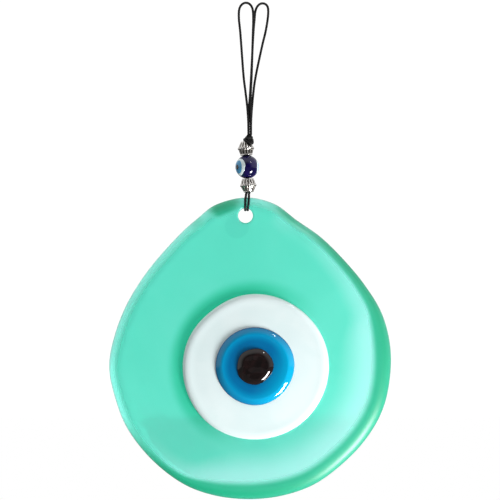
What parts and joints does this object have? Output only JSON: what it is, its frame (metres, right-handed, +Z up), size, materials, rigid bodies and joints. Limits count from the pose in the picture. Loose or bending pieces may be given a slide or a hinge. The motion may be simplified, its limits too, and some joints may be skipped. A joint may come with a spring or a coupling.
{
  "type": "hanging ornament",
  "caption": "Teardrop of mint glass with a fused glass eye, hung on a doubled black cord through an eye bead between silver spacers.",
  "frame": {"origin": "the point inside the top of the cord loops, where a nail or hook carries the ornament", "axes": "+Z up along the hanging ornament, -Y out of its front, +X to the right as seen from the front"},
  "size_m": [0.096, 0.0111, 0.1692],
  "materials": {
    "mint_glass": "polished, milky and translucent",
    "white_glass": "polished, opaque",
    "turkish_blue_glass": "polished, opaque",
    "black_glass": "polished, opaque, brownish black",
    "cobalt_glass": "polished, opaque",
    "light_blue_glass": "polished, opaque",
    "antique_silver": "cast silver-coloured alloy, darkened in its grooves",
    "black_cord": "waxed cotton, slightly shiny"
  },
  "bodies": {
    "loops": {"loop_left": "black_cord", "loop_right": "black_cord"},
    "knotted_cord": {"knot": "black_cord", "bead_strands": "black_cord"},
    "upper_spacer": {"upper_spacer": "antique_silver"},
    "bead": {"eye_bead": "cobalt_glass", "first_eye_white": "white_glass", "first_eye_blue": "light_blue_glass", "first_eye_dot": "black_glass", "second_eye_white": "white_glass", "second_eye_blue": "light_blue_glass", "second_eye_dot": "black_glass"},
    "lower_spacer": {"lower_spacer": "antique_silver"},
    "bights": {"bight_left": "black_cord", "bight_right": "black_cord"},
    "pendant": {"glass_drop": "mint_glass", "white_disc": "white_glass", "blue_disc": "turkish_blue_glass", "pupil_disc": "black_glass"}
  },
  "joints": [
    {"name": "cord_twist", "type": "hinge", "parent": "loops", "child": "knotted_cord", "pos_m": [-0.00145, 0, -0.0445], "axis": [0, 0, 1], "range_deg": [-90, 90]},
    {"name": "upper_spacer_spin", "type": "hinge", "parent": "knotted_cord", "child": "upper_spacer", "pos_m": [-0.00273, 0, -0.04911], "axis": [-0.061, 0, 0.9981], "continuous": true},
    {"name": "bead_spin", "type": "hinge", "parent": "knotted_cord", "child": "bead", "pos_m": [-0.00234, 0, -0.0554], "axis": [-0.061, 0, 0.9981], "continuous": true},
    {"name": "lower_spacer_spin", "type": "hinge", "parent": "knotted_cord", "child": "lower_spacer", "pos_m": [-0.00196, 0, -0.06168], "axis": [-0.061, 0, 0.9981], "continuous": true},
    {"name": "pendant_tilt", "type": "hinge", "parent": "knotted_cord", "child": "bights", "pos_m": [-0.00185, 0, -0.06358], "axis": [1, 0, 0], "range_deg": [-12, 12]},
    {"name": "pendant_swing", "type": "hinge", "parent": "bights", "child": "pendant", "pos_m": [-0.0029, 0, -0.07198], "axis": [0, 1, 0], "range_deg": [-20, 20]}
  ]
}
